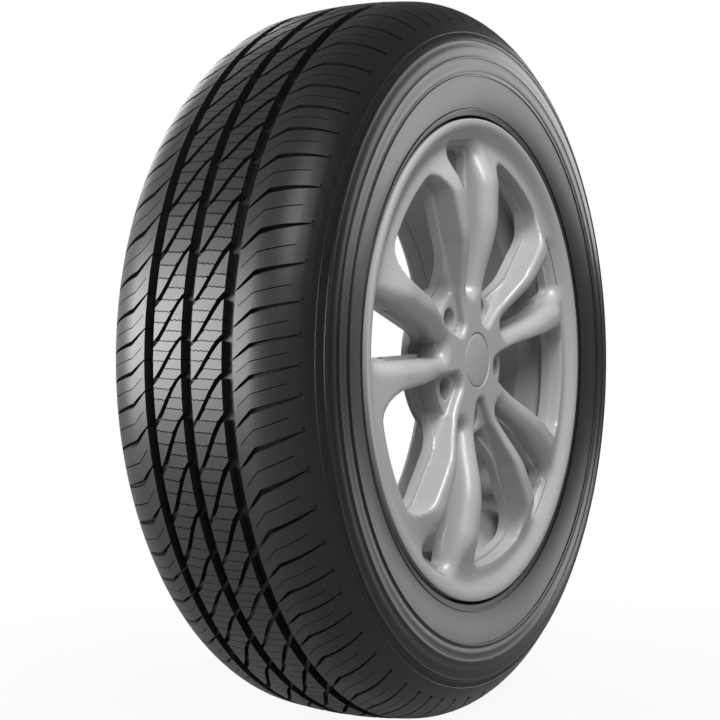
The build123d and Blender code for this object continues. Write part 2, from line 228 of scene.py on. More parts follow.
def turned(profile: Points, segments: int) -> tuple[np.ndarray, list]:
    """Turns a closed section round the axle.

    Args:
        profile: Points of s and r, in order round the section so that its outside is on the left.
        segments: How many steps the turn is divided into.

    Returns:
        Points in millimetres, and faces that point outwards.
    """
    turn = np.linspace(0, 2 * np.pi, segments, endpoint=False)
    s, r = np.array(profile).T
    x = np.outer(np.sin(turn), r)
    z = np.outer(np.cos(turn), r)
    y = np.broadcast_to(-s, x.shape)
    count = len(profile)
    grid = np.arange(segments * count).reshape(segments, count)
    across = np.roll(grid, -1, axis=1)
    faces = np.stack([grid, across, np.roll(across, -1, axis=0), np.roll(grid, -1, axis=0)], axis=-1)
    return np.stack([x, y, z], axis=-1).reshape(-1, 3), faces.reshape(-1, 4).tolist()


def arc(centre: tuple[float, float], radius: float, start: float, end: float, steps: int) -> Points:
    """Points along an arc in a section.

    Args:
        centre: The arc's centre, s and r.
        radius: Its radius.
        start: The first angle from the r axis towards s, in degrees.
        end: The last angle.
        steps: How many chords.

    Returns:
        Points of s and r.
    """
    angles = [math.radians(start + (end - start) * i / steps) for i in range(steps + 1)]
    return [(centre[0] + radius * math.sin(a), centre[1] + radius * math.cos(a)) for a in angles]


class NodeShape:
    """A Geometry Nodes tree with named inputs, which turns one small unit into a whole ring of it."""

    def __init__(self, name: str, sizes: dict[str, float]) -> None:
        """Starts a tree.

        Args:
            name: The tree's name.
            sizes: Input name to its value.
        """
        self.sizes = sizes
        self.tree = bpy.data.node_groups.new(name, "GeometryNodeTree")
        self.tree.interface.new_socket("Unit", in_out="INPUT", socket_type="NodeSocketGeometry")
        for size in sizes:
            self.tree.interface.new_socket(size, in_out="INPUT", socket_type="NodeSocketFloat")
        self.tree.interface.new_socket("Finish", in_out="INPUT", socket_type="NodeSocketMaterial")
        self.tree.interface.new_socket("Ring", in_out="OUTPUT", socket_type="NodeSocketGeometry")
        self.inlet = add_node(self.tree, "NodeGroupInput")

    def value(self, name: str | float | bpy.types.NodeSocket) -> object:
        """Finds the socket of a named input, and passes on anything else."""
        return self.inlet.outputs[name] if isinstance(name, str) else name

    def work_out(self, steps: list[tuple], known: dict) -> dict:
        """Builds a chain of sums, one node for each.

        Args:
            steps: Result name, operation and operands. An operand is a number, or the name of an input or
                of an earlier result.
            known: Names that are known already, with their sockets.

        Returns:
            All the names with their sockets.
        """
        for result, operation, *operands in steps:
            feeds = {i: known.get(o, o) if isinstance(o, str) else o for i, o in enumerate(operands)}
            feeds = {i: self.value(o) for i, o in feeds.items()}
            known[result] = add_node(self.tree, "ShaderNodeMath", feeds, operation=operation).outputs[0]
        return known

    def close(self, geometry: bpy.types.NodeSocket) -> None:
        """Ends the tree: welds the seams and gives the ring its finish.

        Args:
            geometry: The realized ring.
        """
        seams = {"Geometry": geometry, "Distance": SEAM_WELD}
        welded = add_node(self.tree, "GeometryNodeMergeByDistance", seams)
        dressed = add_node(
            self.tree,
            "GeometryNodeSetMaterial",
            {"Geometry": welded.outputs[0], "Material": self.inlet.outputs["Finish"]},
        )
        add_node(self.tree, "NodeGroupOutput", {0: dressed.outputs[0]})

    def apply(self, unit: bpy.types.Object, finish: bpy.types.Material) -> bpy.types.Object:
        """Runs the tree on a unit and leaves the ring as a plain mesh in the unit's object.

        Args:
            unit: The object that holds the small unit.
            finish: The material that the ring gets.

        Returns:
            The same object, with the ring as its mesh.
        """
        modifier = unit.modifiers.new("ring", "NODES")
        modifier.node_group = self.tree
        for socket in self.tree.interface.items_tree:
            if socket.name in self.sizes:
                modifier[socket.identifier] = float(self.sizes[socket.name])
            elif socket.name == "Finish":
                modifier[socket.identifier] = finish
        graph = bpy.context.evaluated_depsgraph_get()
        ring = bpy.data.meshes.new_from_object(unit.evaluated_get(graph))
        unit.modifiers.remove(modifier)
        unit.data = ring
        ring.name = unit.name
        return unit


def around_tree(name: str, count: int) -> NodeShape:
    """Builds the tree that repeats a unit at even angles about the axle.

    Args:
        name: The tree's name.
        count: How many units go round.

    Returns:
        The tree.
    """
    shape = NodeShape(name, {"Count": count, "Step": 2 * math.pi / count})
    tree = shape.tree
    line = add_node(tree, "GeometryNodeMeshLine", {"Count": shape.value("Count"), "Offset": (0.0, 0.0, 0.0)})
    index = add_node(tree, "GeometryNodeInputIndex").outputs[0]
    angle = shape.work_out([("angle", "MULTIPLY", "index", "Step")], {"index": index})["angle"]
    turn = add_node(tree, "ShaderNodeCombineXYZ", {"Y": angle})
    spread = add_node(
        tree,
        "GeometryNodeInstanceOnPoints",
        {"Points": line.outputs[0], "Instance": shape.inlet.outputs["Unit"], "Rotation": turn.outputs[0]},
    )
    real = add_node(tree, "GeometryNodeRealizeInstances", {0: spread.outputs[0]})
    shape.close(real.outputs[0])
    return shape


@dataclass
class Casing:
    """The tyre's outer form: a crown arc and a shoulder arc that meet without a corner."""

    radius: float
    half_width: float
    crown_half_width: float = 48.0
    crown_drop: float = 3.25

    def __post_init__(self) -> None:
        """Works out the two arcs."""
        self.crown_arc = (self.crown_half_width**2 + self.crown_drop**2) / (2 * self.crown_drop)
        self.crown_turn = math.asin(self.crown_half_width / self.crown_arc)
        self.crown_edge = self.crown_arc * self.crown_turn
        self.shoulder_arc = (self.half_width - self.crown_half_width) / (1 - math.sin(self.crown_turn))
        self.shoulder_s = self.half_width - self.shoulder_arc
        crown_end = self.radius - self.crown_drop
        self.widest_radius = crown_end - self.shoulder_arc * math.cos(self.crown_turn)

    def at(self, along: float, depth: float = 0.0) -> tuple[float, float]:
        """The point at a distance along the form from the middle, and a depth below it.

        Args:
            along: The distance along the outer form, in millimetres.
            depth: How far below the surface.

        Returns:
            s and r.
        """
        if along <= self.crown_edge:
            angle = along / self.crown_arc
            arm = self.crown_arc - depth
            return (arm * math.sin(angle), self.radius - self.crown_arc + arm * math.cos(angle))
        angle = self.crown_turn + (along - self.crown_edge) / self.shoulder_arc
        arm = self.shoulder_arc - depth
        return (self.shoulder_s + arm * math.sin(angle), self.widest_radius + arm * math.cos(angle))

    def along_at_radius(self, radius: float) -> float:
        """The distance along the form at which the shoulder has a radius."""
        angle = math.acos((radius - self.widest_radius) / self.shoulder_arc)
        return self.crown_edge + (angle - self.crown_turn) * self.shoulder_arc


@dataclass
class Tread:
    """The moulded tread: two middle ribs with sipes, and two shoulders with kinked grooves."""

    casing: Casing
    groove_pitch: float = 34.5
    groove_width: float = 9.0
    groove_depth: float = 8.2
    rib_pitches: int = 60
    rib_groove_rise: float = 38.0
    rib_groove_bend: float = 0.21
    rib_groove_foot: float = 2.7
    rib_groove_mouth: float = 4.0
    rib_step: float = 2.1
    block_root: float = 0.4
    block_tip: float = 0.01
    sipe_width: float = 0.75
    sipe_spacing: float = 8.8
    sipe_count: int = 5
    sipe_fall: float = 0.07
    sipe_wave: float = 0.45
    shoulder_pitches: int = 72
    wall_lean: float = 0.5
    wall_root: float = 0.6
    cross_depth: float = 6.6
    cross_end_depths: tuple[float, float] = (2.4, 2.0)
    cross_full_depth: float = 12.0
    cross_end_rise: float = 2.0
    cross_half_widths: tuple[float, ...] = (0.8, 2.0, 2.0, 1.0, 0.7)
    cross_taper: float = 4.0
    cross_floor_share: float = 0.72
    kink_along: float = 52.0
    kink_reach: float = 3.0
    groove_end: float = 86.5
    tick_length: float = 2.2
    tick_gap: float = 0.2
    tick_depth: float = 1.3
    tick_half_widths: tuple[float, float] = (2.3, 2.6)
    skin_end: float = 93.0
    steep_slope: float = 0.95
    flat_slope: float = 0.29
    shoulder_sipe_start: float = 41.0
    shoulder_sipe_end: float = 79.0
    shoulder_sipe_width: float = 0.8
    shoulder_sipe_depth: float = 4.5
    shut_half_width: float = 0.05
    # Where the rows of the shoulder's net stand
    row_gap: float = 2.0
    row_open: float = 7.0
    row_flat: float = 6.0
    flat_rows: int = 5
    sipe_rows: tuple[float, float] = (1.5, 1.0)
    end_rows: tuple[float, float, float] = (2.5, 0.25, 0.35)
    pitch_variation: float = 0.18
    pitch_cycles: int = 10

    def __post_init__(self) -> None:
        """Works out the edges of the ribs and the even pitches."""
        self.rib_start = self.groove_width / 2
        self.rib_end = self.groove_pitch - self.groove_width / 2
        self.shoulder_start = self.groove_pitch + self.groove_width / 2
        self.rib_pitch = 2 * math.pi * self.casing.radius / self.rib_pitches
        self.shoulder_pitch = 2 * math.pi * self.casing.radius / self.shoulder_pitches

    def rib_groove(self, s: np.ndarray) -> np.ndarray:
        """The diagonal groove's middle line: an S that is steepest in the middle of the rib."""
        middle = (self.rib_start + self.rib_end) / 2
        share = (s - middle) / (self.rib_end - middle)
        bend = self.rib_groove_bend
        return self.rib_groove_rise / 2 * ((1 + bend) * share - bend * share**3)

    def rib_block(self) -> tuple[np.ndarray, list]:
        """One pitch of a middle rib: a slanted block, cut by wavy sipes into closed pieces.

        Returns:
            Flat points (across, along, height) in millimetres, and faces.
        """
        count = round((self.rib_end - self.rib_start) / self.rib_step)
        s = np.linspace(self.rib_start, self.rib_end, count + 1)
        slope = np.gradient(self.rib_groove(s), s)
        width = np.linspace(self.rib_groove_foot, self.rib_groove_mouth, count + 1) * np.hypot(1, slope)
        low = self.rib_groove(s) + width / 2
        high = self.rib_groove(s) + self.rib_pitch - width / 2
        wave = self.sipe_wave * (-1.0) ** np.arange(count + 1)
        sipe = self.rib_pitch / 2 + wave - self.sipe_fall * (s - s.mean())
        middle = (self.sipe_count - 1) / 2
        cuts = [sipe + self.sipe_spacing * (k - middle) for k in range(self.sipe_count)]
        floors = [low, *[cut + self.sipe_width / 2 for cut in cuts]]
        tops = [*[cut - self.sipe_width / 2 for cut in cuts], high]
        points, faces = [], []
        for floor, top in zip(floors, tops):
            self.add_prism(points, faces, s, np.maximum(floor, low), np.minimum(top, high))
        return np.array(points), faces

    def add_prism(self, points: list, faces: list, s: np.ndarray, low: np.ndarray, high: np.ndarray) -> None:
        """Adds the closed prism between two lines across the rib, where the upper one is above the lower.

        Args:
            points: The unit's points, which grow.
            faces: The unit's faces, which grow.
            s: Stations across the rib.
            low: The lower line, along the tread.
            high: The upper line.
        """
        gap = high - low
        inside = np.flatnonzero(gap > 0)
        if len(inside) < 2:
            return
        across, lows, highs = list(s[inside]), list(low[inside]), list(high[inside])
        for step, end in ((-1, inside[0]), (1, inside[-1])):
            beyond = end + step
            if 0 <= beyond < len(s):
                share = gap[end] / (gap[end] - gap[beyond])
                meet = low[end] + (low[beyond] - low[end]) * share
                at = s[end] + (s[beyond] - s[end]) * share
                place = 0 if step < 0 else len(across)
                across.insert(place, at)
                lows.insert(place, meet - self.block_tip)
                highs.insert(place, meet + self.block_tip)
        outline = list(zip(across, lows)) + list(zip(across[::-1], highs[::-1]))
        first, count = len(points), len(outline)
        for height in (0.0, -self.groove_depth - self.block_root):
            points.extend((x, y, height) for x, y in outline)
        half = count // 2
        for i in range(half - 1):
            ring = (i, i + 1, count - 2 - i, count - 1 - i)
            faces.append([first + k for k in ring])
            faces.append([first + count + k for k in reversed(ring)])
        for i in range(count):
            after = (i + 1) % count
            faces.append([first + k for k in (after, i, count + i, count + after)])

    def shoulder_unit(self) -> tuple[np.ndarray, list]:
        """One pitch of a shoulder: a skin with its kinked cross groove, the tick at its end and one sipe.

        Returns:
            Flat points (across, along, height) in millimetres, and faces.
        """
        start, kink, end = self.shoulder_start, self.kink_along, self.groove_end
        tick = end + self.tick_length
        # Rows stand close together where the groove bends, widens or ends, and further apart between
        sipe_lead, sipe_lag = self.sipe_rows
        before, foot, after = self.end_rows
        stations = [start - self.wall_lean, start, start + self.row_gap, self.shoulder_sipe_start + sipe_lead]
        stations += [start + self.row_open, kink - self.row_gap, kink, kink + self.row_gap]
        stations += list(np.linspace(kink + self.row_flat, self.shoulder_sipe_end - sipe_lag, self.flat_rows))
        stations += [self.shoulder_sipe_end, end - before, end, end + foot, tick, tick + after, self.skin_end]
        rows = [self.shoulder_row(along, wall=(i == 0)) for i, along in enumerate(stations)]
        points = [point for row in rows for point in row]
        width = len(rows[0])
        faces = []
        for i in range(len(rows) - 1):
            for j in range(width - 1):
                here = i * width + j
                faces.append([here, here + width, here + width + 1, here + 1])
        return np.array(points), faces

    def shoulder_row(self, along: float, wall: bool) -> list[tuple[float, float, float]]:
        """The points of the shoulder's skin at one distance across the tread.

        Args:
            along: The distance from the middle, along the outer form.
            wall: Whether the row is the foot of the wall in the main groove.

        Returns:
            Points (across, along, height) over one pitch, from one groove's middle to the next.
        """
        start, kink, end = self.shoulder_start, self.kink_along, self.groove_end
        tick = end + self.tick_length
        steep = min(along, kink) - start
        centre = self.steep_slope * steep + self.flat_slope * max(along - kink, 0)
        knots = [start, kink - self.kink_reach, kink + self.kink_reach, end - self.cross_taper, end]
        half = np.interp(along, knots, self.cross_half_widths)
        knots = [start, kink + self.cross_full_depth, end - self.cross_end_rise, end]
        depth = np.interp(along, knots, [self.cross_depth, self.cross_depth, *self.cross_end_depths])
        if along > end:
            half = np.interp(along, [end + self.tick_gap, tick], self.tick_half_widths)
            depth = self.tick_depth
        if along > tick:
            half, depth = self.tick_half_widths[1], 0.0
        cut = self.shoulder_sipe_start < along < self.shoulder_sipe_end
        sipe_half = self.shoulder_sipe_width / 2 if cut else self.shut_half_width
        sipe_depth = self.shoulder_sipe_depth if cut else 0.0
        pitch, floor_half = self.shoulder_pitch, self.cross_floor_share * half
        columns = [
            (0.0, depth),
            (floor_half, depth),
            (half, 0.0),
            (pitch / 4, 0.0),
            (pitch / 2 - sipe_half, 0.0),
            (pitch / 2, sipe_depth),
            (pitch / 2 + sipe_half, 0.0),
            (3 * pitch / 4, 0.0),
            (pitch - half, 0.0),
            (pitch - floor_half, depth),
            (pitch, depth),
        ]
        foot = self.groove_depth + self.wall_root
        return [(along, centre + t, -(foot if wall else down)) for t, down in columns]

    def wrap_tree(self, name: str, count: int, pitch: float, side: Side) -> NodeShape:
        """Builds the tree that lays a flat unit round the tyre, pitch by pitch, and bends it onto the crown.

        Args:
            name: The tree's name.
            count: How many pitches go round.
            pitch: The even pitch, in millimetres.
            side: The side of the tyre; the inner side is the outer one turned half round.

        Returns:
            The tree.
        """
        form = self.casing
        shape = NodeShape(
            name,
            {
                "Pitches": count,
                "Pitch": pitch,
                "Side": side.value,
                "Tread Radius": form.radius,
                "Crown Arc": form.crown_arc,
                "Crown Turn": form.crown_turn,
                "Crown Edge": form.crown_edge,
                "Shoulder Arc": form.shoulder_arc,
                "Shoulder Centre": form.shoulder_s,
                "Widest Radius": form.widest_radius,
                "Pitch Sway": self.pitch_variation / self.pitch_cycles,
                "Pitch Cycles": self.pitch_cycles,
            },
        )
        tree = shape.tree
        pitch_m = shape.work_out([("pitch_m", "MULTIPLY", "Pitch", MM)], {})["pitch_m"]
        step = add_node(tree, "ShaderNodeCombineXYZ", {"Y": pitch_m})
        line = add_node(
            tree, "GeometryNodeMeshLine", {"Count": shape.value("Pitches"), "Offset": step.outputs[0]}
        )
        spread = add_node(
            tree,
            "GeometryNodeInstanceOnPoints",
            {"Points": line.outputs[0], "Instance": shape.inlet.outputs["Unit"]},
        )
        real = add_node(tree, "GeometryNodeRealizeInstances", {0: spread.outputs[0]})
        place = add_node(tree, "GeometryNodeInputPosition")
        flat = add_node(tree, "ShaderNodeSeparateXYZ", {0: place.outputs[0]})
        known = shape.work_out(
            [
                ("across", "DIVIDE", "x_m", MM),
                ("along", "DIVIDE", "y_m", MM),
                ("height", "DIVIDE", "z_m", MM),
                ("even", "DIVIDE", "along", "Tread Radius"),
                ("beat", "MULTIPLY", "even", "Pitch Cycles"),
                ("swing", "SINE", "beat"),
                ("plain_turn", "MULTIPLY_ADD", "swing", "Pitch Sway", "even"),
                ("turn", "MULTIPLY", "plain_turn", "Side"),
                ("past", "SUBTRACT", "across", "Crown Edge"),
                ("on_shoulder", "GREATER_THAN", "past", 0.0),
                ("crown_angle", "DIVIDE", "across", "Crown Arc"),
                ("bend", "DIVIDE", "past", "Shoulder Arc"),
                ("shoulder_angle", "ADD", "bend", "Crown Turn"),
                ("angle_gap", "SUBTRACT", "shoulder_angle", "crown_angle"),
                ("angle", "MULTIPLY_ADD", "angle_gap", "on_shoulder", "crown_angle"),
                ("arc_gap", "SUBTRACT", "Shoulder Arc", "Crown Arc"),
                ("bow", "MULTIPLY_ADD", "arc_gap", "on_shoulder", "Crown Arc"),
                ("arm", "ADD", "bow", "height"),
                ("centre_s", "MULTIPLY", "on_shoulder", "Shoulder Centre"),
                ("crown_centre", "SUBTRACT", "Tread Radius", "Crown Arc"),
                ("rise_gap", "SUBTRACT", "Widest Radius", "crown_centre"),
                ("centre_r", "MULTIPLY_ADD", "rise_gap", "on_shoulder", "crown_centre"),
                ("sine", "SINE", "angle"),
                ("cosine", "COSINE", "angle"),
                ("s", "MULTIPLY_ADD", "arm", "sine", "centre_s"),
                ("r", "MULTIPLY_ADD", "arm", "cosine", "centre_r"),
                ("s_side", "MULTIPLY", "s", "Side"),
                ("y", "MULTIPLY", "s_side", -MM),
                ("r_m", "MULTIPLY", "r", MM),
                ("turn_sine", "SINE", "turn"),
                ("turn_cosine", "COSINE", "turn"),
                ("x", "MULTIPLY", "r_m", "turn_sine"),
                ("z", "MULTIPLY", "r_m", "turn_cosine"),
            ],
            {"x_m": flat.outputs[0], "y_m": flat.outputs[1], "z_m": flat.outputs[2]},
        )
        round_place = add_node(
            tree, "ShaderNodeCombineXYZ", {"X": known["x"], "Y": known["y"], "Z": known["z"]}
        )
        laid = add_node(
            tree,
            "GeometryNodeSetPosition",
            {"Geometry": real.outputs[0], "Position": round_place.outputs[0]},
        )
        shape.close(laid.outputs[0])
        return shape

    def build(self, finish: bpy.types.Material) -> list[bpy.types.Object]:
        """Makes the ribs and shoulders on both sides.

        Args:
            finish: The rubber.

        Returns:
            The four ring pieces.
        """
        rings = []
        units = {
            "rib": (self.rib_block(), self.rib_pitches, self.rib_pitch),
            "shoulder": (self.shoulder_unit(), self.shoulder_pitches, self.shoulder_pitch),
        }
        for label, ((points, faces), count, pitch) in units.items():
            for side in Side:
                name = f"tread_{label}_{side.name.lower()}"
                unit = make_mesh(name, points, faces)
                rings.append(self.wrap_tree(name, count, pitch, side).apply(unit, finish))
        return rings


@dataclass
class Tyre:
    """The whole moulded tyre: its carcass with ringed sidewalls and beads, and its tread."""

    casing: Casing
    tread: Tread
    segments: int = 240
    bead_edge_s: float = 85.5
    bead_edge_radius: float = 209.5
    heel_s: float = 76.0
    heel_radius: float = 200.0
    heel_round: float = 9.5
    seat_radius: float = 190.7
    toe_s: float = 58.0
    toe_radius: float = 189.1
    toe_width: float = 3.0
    toe_height: float = 6.0
    liner_s: float = 86.5
    liner_low_radius: float = 238.0
    liner_high_radius: float = 263.0
    liner_crown_s: float = 56.0
    liner_crown_radius: float = 293.0
    floor_steps: int = 6
    backing_steps: int = 5
    backing_depth: float = 2.0
    backing_inset: tuple[float, float] = (3.0, 8.0)
    skin_lap: tuple[float, float] = (1.0, 0.6)
    # Radii of the sidewall's plain stretches, then radius and height of each raised ring
    plain_radii: tuple[float, ...] = (
        282.0, 276.0, 266.0, 262.0, 250.0, 246.0, 237.0, 232.0, 227.0, 222.0, 218.0,
    )
    ridges: tuple[tuple[float, float], ...] = (
        (278.5, 0.5), (271.5, 0.8), (256.5, 0.5), (242.0, 0.9), (214.5, 0.9),
    )
    ridge_width: float = 1.3
    ridge_flank: float = 0.4
    valley_radii: tuple[float, ...] = (268.5, 259.5, 253.5, 245.0)
    valley_depth: float = 0.5
    serration_count: int = 420
    serration_radius: float = 279.5
    serration_length: float = 5.5
    serration_height: float = 0.45
    serration_root: float = 0.6
    serration_share: float = 0.9
    crisp_angle: float = 32.0

    def sidewall(self) -> Points:
        """The sidewall from the tread's edge to the bead, with its raised rings, as s and r."""
        form = self.casing
        wide, high = form.half_width - self.bead_edge_s, form.widest_radius - self.bead_edge_radius
        low_arc = (wide**2 + high**2) / (2 * wide)
        low_centre = form.half_width - low_arc

        def surface(radius: float, raise_by: float) -> tuple[float, float]:
            """The point of the sidewall at a radius, lifted off its surface."""
            if radius >= form.widest_radius:
                return form.at(form.along_at_radius(radius), -raise_by)
            angle = math.acos((radius - form.widest_radius) / low_arc)
            arm = low_arc + raise_by
            return (low_centre + arm * math.sin(angle), form.widest_radius + arm * math.cos(angle))

        edge = form.at(self.tread.skin_end)[1]
        steps = [(radius, 0.0) for radius in (edge, *self.plain_radii)]
        steps += [(radius, -self.valley_depth) for radius in self.valley_radii]
        flank = self.ridge_flank
        for ring, height in self.ridges:
            top, low = ring + self.ridge_width / 2, ring - self.ridge_width / 2
            steps += [(top + flank, 0.0), (top, height), (low, height), (low - flank, 0.0)]
        steps.sort(reverse=True)
        return [surface(radius, height) for radius, height in steps]

    def serrations(self, finish: bpy.types.Material) -> list[bpy.types.Object]:
        """Makes the two bands of fine ribs that run across each sidewall under its shoulder.

        Args:
            finish: The rubber.

        Returns:
            One band for each side.
        """
        form, root = self.casing, self.serration_root
        low = self.serration_radius - self.serration_length
        half = self.serration_share * math.pi * low / self.serration_count
        bands = []
        for side in Side:
            points = []
            for radius in (low, self.serration_radius):
                along = form.along_at_radius(radius)
                for across, depth in ((-half, root), (0.0, -self.serration_height), (half, root)):
                    s, r = form.at(along, depth)
                    points.append((across, -side.value * s, r))
            faces = [(0, 1, 4, 3), (1, 2, 5, 4), (2, 0, 3, 5), (0, 2, 1), (3, 4, 5)]
            rib = make_mesh("serration", np.array(points), faces)
            face_outwards(rib)
            bands.append(around_tree("serrations", self.serration_count).apply(rib, finish))
        return bands

    def section(self) -> Points:
        """The carcass's closed section, with the tread's floor under the blocks, as s and r."""
        form, tread = self.casing, self.tread
        floor, steps = tread.groove_depth, self.floor_steps
        half = [form.at(i * tread.shoulder_start / steps, floor) for i in range(1, steps + 1)]
        start, end = tread.shoulder_start + self.backing_inset[0], tread.skin_end - self.backing_inset[1]
        backing = np.linspace(start, end, self.backing_steps)
        half += [form.at(along, floor + self.backing_depth) for along in backing]
        half += [form.at(tread.skin_end - self.skin_lap[0], self.skin_lap[1])]
        half += self.sidewall()
        half += [
            (self.bead_edge_s, self.bead_edge_radius),
            *arc((self.heel_s + self.heel_round, self.heel_radius), self.heel_round, -10, -90, 4),
            (self.heel_s, self.seat_radius),
            (self.toe_s, self.toe_radius),
            (self.toe_s + self.toe_width, self.seat_radius + self.toe_height),
            (self.liner_s, self.liner_low_radius),
            (self.liner_s, self.liner_high_radius),
            (self.liner_crown_s, self.liner_crown_radius),
        ]
        mirrored = [(-s, r) for s, r in reversed(half)]
        return [form.at(0, floor), *half, (0, self.liner_crown_radius), *mirrored]

    def build(self, finish: bpy.types.Material) -> bpy.types.Object:
        """Makes the tyre as one piece.

        Args:
            finish: The rubber.

        Returns:
            The tyre.
        """
        points, faces = turned(self.section(), self.segments)
        carcass = make_mesh("carcass", points, faces)
        tyre = join("tyre_moulded", [carcass, *self.serrations(finish), *self.tread.build(finish)])
        soften(tyre, self.crisp_angle)
        return tyre


@dataclass
class CastWheel:
    """The cast alloy wheel: a spoked disc shaped by one distance field, and a turned barrel behind it."""

    pairs: int = 5
    pair_angle: float = -10.5
    root: tuple[float, float] = (12.89, 60.65)
    rim: tuple[float, float] = (37.0, 174.1)
    root_half_width: float = 7.5
    rim_half_width: float = 12.0
    ledge: float = 3.0
    ledge_rise: float = 8.0
    back_s: float = 62.0
    back_fall: float = 18.0
    back_bend_radius: float = 110.0
    big_window_radius: float = 178.0
    big_corner: float = 28.0
    big_root_corner: float = 8.0
    small_window_radius: float = 185.0
    small_window_root: float = 61.0
    small_corner: float = 10.0
    small_root_corner: float = 4.0
    hub_radius: float = 65.0
    hub_pad_s: float = 38.0
    lug_deck_s: float = 69.0
    lug_bay_radius: float = 34.0
    bay_corner: float = 6.0
    bay_floor_corner: float = 3.0
    bay_reach: float = 1.6
    bay_fade: float = 0.2
    bay_round: float = 4.0
    crest_root: tuple[float, float] = (50.0, 78.4)
    crest_top: tuple[float, float] = (126.0, 93.0)
    crest_end: tuple[float, float] = (188.0, 81.0)
    crest_fall_radius: float = 150.0
    lip: tuple[float, float] = (203.0, 88.0)
    lip_radius: float = 206.6
    lip_band_radius: float = 190.0
    lip_back_s: float = 77.5
    lip_round: float = 1.8
    crest_round: float = 3.2
    crest_inner_round: float = 12.0
    front_scale: float = 0.97
    spoke_dome: float = 1.0
    dome_band: tuple[float, float] = (58.0, 182.0)
    dome_fade: float = 25.0
    ledge_lap: float = 2.0
    ledge_fillet: float = 1.2
    hub_fillet: float = 1.5
    hole_round: float = 1.2
    bolt_circle: float = 50.0
    bolt_pocket: float = 10.0
    bolt_hole: float = 7.25
    bolt_seat_s: float = 56.0
    cone_slope: float = 0.577
    bore_radius: float = 28.55
    bore_end_s: float = 56.0
    hook_room_radius: float = 25.0
    hook_room_end_s: float = 62.0
    cap_bore_radius: float = 20.5
    cap_seat_radius: float = 23.75
    cap_seat_s: float = 75.8
    # The grid that the field is sampled on, and how its points settle on the surface
    step: float = 2.3
    turn_steps: int = 84
    depth_step_share: float = 0.95
    grid_radii: tuple[float, float] = (17.0, 209.0)
    grid_depths: tuple[float, float] = (36.4, 96.5)
    settle_rounds: int = 2
    settle_reach: float = 0.05
    settle_limit: float = 0.4
    calm: float = 0.04
    segments: int = 192
    crisp_angle: float = 38.0

    def crest(self, r: np.ndarray) -> np.ndarray:
        """The height of the front face over the radius: hub, rising spokes, dished ring and lip."""
        fall = (self.crest_fall_radius, self.crest_top[1])
        knots = [self.crest_root, self.crest_top, fall, self.crest_end, self.lip]
        height = np.full_like(r, self.crest_root[1])
        for (start, low), (end, high) in zip(knots, knots[1:]):
            share = np.clip((r - start) / (end - start), 0, 1)
            height = height + (high - low) * (1 - np.cos(np.pi * share)) / 2
        return height

    def windows(self, x: np.ndarray, y: np.ndarray, r: np.ndarray) -> tuple[np.ndarray, ...]:
        """The windows beside the spoke of one half of a pair.

        Args:
            x: Places across the wheel, from the pair's axis towards the spoke.
            y: Places along that axis.
            r: Their radii.

        Returns:
            Distances to the big and to the small window, below zero inside them, then the distance to the
            side of the spoke's middle line and the spoke's half width.
        """
        root, rim = np.array(self.root), np.array(self.rim)
        length = math.dist(self.root, self.rim)
        way = (rim - root) / length
        along = np.clip(((x - root[0]) * way[0] + (y - root[1]) * way[1]) / length, 0, 1)
        half = self.root_half_width + (self.rim_half_width - self.root_half_width) * along
        aside = (x - root[0]) * way[1] - (y - root[1]) * way[0]
        mirrored = (-x - root[0]) * way[1] - (y - root[1]) * way[0]
        big = round_max(half - aside, r - self.big_window_radius, self.big_corner)
        big = round_max(big, self.hub_radius - r, self.big_root_corner)
        small = round_max(aside + half, mirrored + half, self.small_root_corner)
        small = round_max(small, r - self.small_window_radius, self.small_corner)
        small = round_max(small, self.small_window_root - r, self.small_root_corner)
        return big, small, aside, half

    def holes(self, x: np.ndarray, y: np.ndarray, r: np.ndarray, s: np.ndarray) -> np.ndarray:
        """The distance to the bolt hole or the stepped centre bore, below zero inside them.

        Args:
            x: Places across the wheel, from a pair's axis.
            y: Places along that axis.
            r: Their radii.
            s: Distances outwards from the middle plane.

        Returns:
            The distances in millimetres.
        """
        turn = np.pi / self.pairs
        lug = np.hypot(x - self.bolt_circle * np.sin(turn), y - self.bolt_circle * np.cos(turn))
        cone = self.bolt_pocket + (s - self.bolt_seat_s) * self.cone_slope
        lug = lug - np.clip(cone, self.bolt_hole, self.bolt_pocket)
        bore = np.maximum(r - self.bore_radius, s - self.bore_end_s)
        room = np.maximum(r - self.hook_room_radius, s - self.hook_room_end_s)
        seat = np.maximum(r - self.cap_seat_radius, self.cap_seat_s - s)
        hole = np.minimum(np.minimum(r - self.cap_bore_radius, seat), np.minimum(bore, room))
        return np.minimum(hole, lug)

